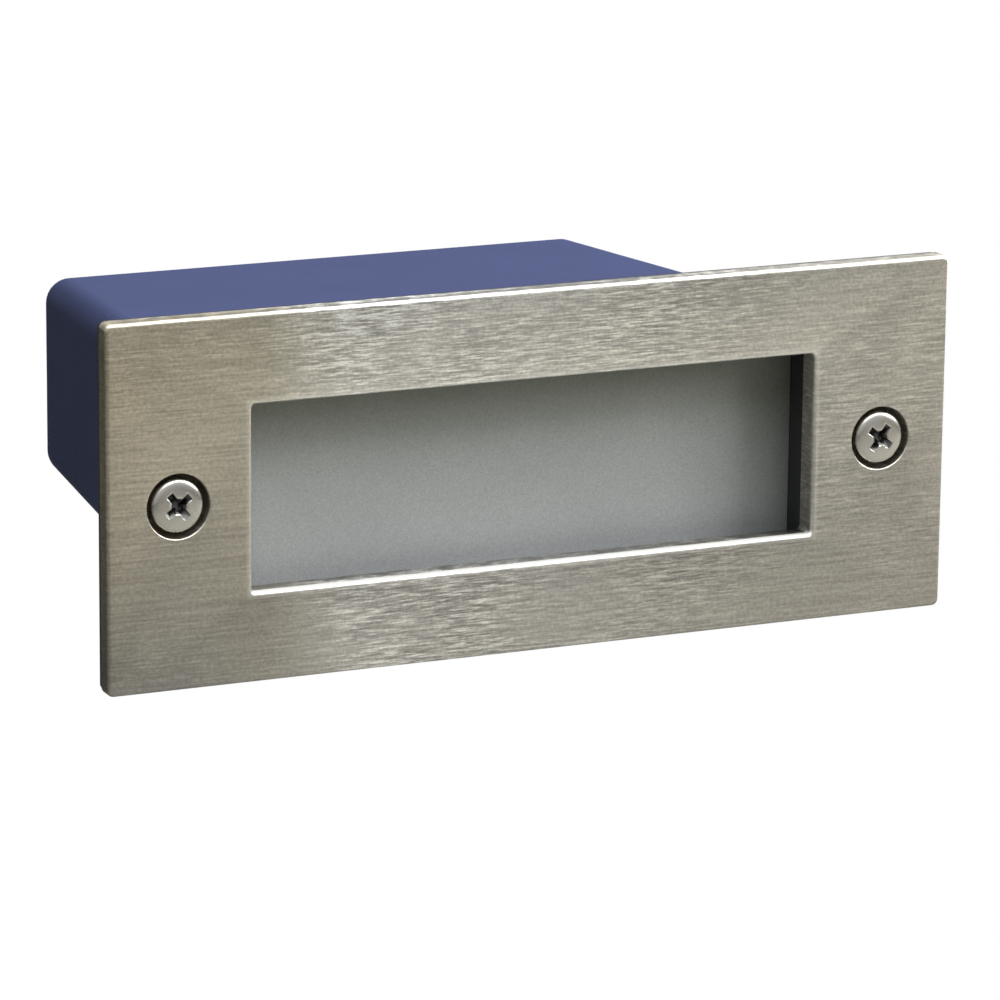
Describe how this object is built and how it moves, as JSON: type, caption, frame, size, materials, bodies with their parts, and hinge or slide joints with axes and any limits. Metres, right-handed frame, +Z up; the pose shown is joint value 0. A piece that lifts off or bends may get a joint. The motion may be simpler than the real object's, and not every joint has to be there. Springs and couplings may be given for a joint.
{
  "type": "recessed step light",
  "caption": "Low recessed wall light: a brushed steel plate with a long frosted window, screwed to a tapered box set in the wall.",
  "frame": {"origin": "on the face of the wall, at the centre of the light", "axes": "+X to the right along the plate, +Y into the wall, +Z up; the light shines towards -Y"},
  "size_m": [0.173, 0.114, 0.07],
  "materials": {
    "brushed_steel": "brushed along its length",
    "screw_steel": "turned and polished",
    "blue_plastic": "fine satin",
    "dark_casting": "satin powder coat",
    "frosted_glass": "etched",
    "seal_rubber": "matt",
    "reflector_metal": "bright satin",
    "board_white": "solder mask",
    "board_green": "solder mask",
    "lamp_yellow": "phosphor",
    "pad_grey": "matt",
    "brass": "turned",
    "zinc_steel": "zinc plated",
    "black_nylon": "moulded",
    "white_nylon": "moulded",
    "copper_winding": "lacquered wire",
    "brown_insulation": "smooth",
    "blue_insulation": "smooth",
    "earth_insulation": "smooth",
    "red_insulation": "smooth",
    "black_insulation": "smooth"
  },
  "bodies": {
    "wall_box": {"recess_box": "blue_plastic", "screw_inserts": "brass", "cable_grommet": "seal_rubber", "blanking_plug": "black_nylon"},
    "lamp_unit": {"face_plate": "brushed_steel", "wall_gasket": "seal_rubber", "lamp_frame": "dark_casting", "glass_seal": "seal_rubber", "lens_glass": "frosted_glass", "plate_studs": "zinc_steel", "stud_washers": "zinc_steel", "stud_nuts": "zinc_steel", "flange_gasket": "seal_rubber", "lamp_body": "dark_casting", "reflector": "reflector_metal", "heat_pad": "pad_grey", "led_board": "board_white", "led_chips": "lamp_yellow", "board_screws": "zinc_steel", "cover_gasket": "seal_rubber", "rear_cover": "dark_casting", "cover_screws": "zinc_steel", "gland_body": "black_nylon", "gland_locknut": "black_nylon", "gland_seal": "seal_rubber", "gland_nut": "black_nylon", "driver_board": "board_green", "driver_spacers": "white_nylon", "transformer": "copper_winding", "capacitors": "black_nylon", "terminal_block": "white_nylon", "terminal_screws": "zinc_steel", "live_wire": "brown_insulation", "neutral_wire": "blue_insulation", "led_wire_positive": "red_insulation", "led_wire_negative": "black_insulation", "earth_wire": "earth_insulation", "earth_tag": "zinc_steel", "earth_screw": "brass", "wire_grommet": "seal_rubber"},
    "left_ring": {"left_screw_ring": "white_nylon"},
    "left_screw": {"left_screw": "screw_steel"},
    "right_ring": {"right_screw_ring": "white_nylon"},
    "right_screw": {"right_screw": "screw_steel"}
  },
  "joints": [
    {"name": "lamp_withdraw", "type": "slide", "parent": "wall_box", "child": "lamp_unit", "axis": [0, -1, 0], "range_m": [0, 0.095]},
    {"name": "left_screw_lift", "type": "slide", "parent": "lamp_unit", "child": "left_ring", "axis": [0, -1, 0], "range_m": [0, 0.0096]},
    {"name": "left_screw_turn", "type": "hinge", "parent": "left_ring", "child": "left_screw", "pos_m": [-0.0725, 0, 0], "axis": [0, -1, 0], "range_deg": [0, 4320]},
    {"name": "right_screw_lift", "type": "slide", "parent": "lamp_unit", "child": "right_ring", "axis": [0, -1, 0], "range_m": [0, 0.0096]},
    {"name": "right_screw_turn", "type": "hinge", "parent": "right_ring", "child": "right_screw", "pos_m": [0.0725, 0, 0], "axis": [0, -1, 0], "range_deg": [0, 4320]}
  ],
  "couplings": [
    {"joint": "left_screw_turn", "follows": "left_screw_lift", "rad_per_m": 7854},
    {"joint": "right_screw_turn", "follows": "right_screw_lift", "rad_per_m": 7854}
  ]
}
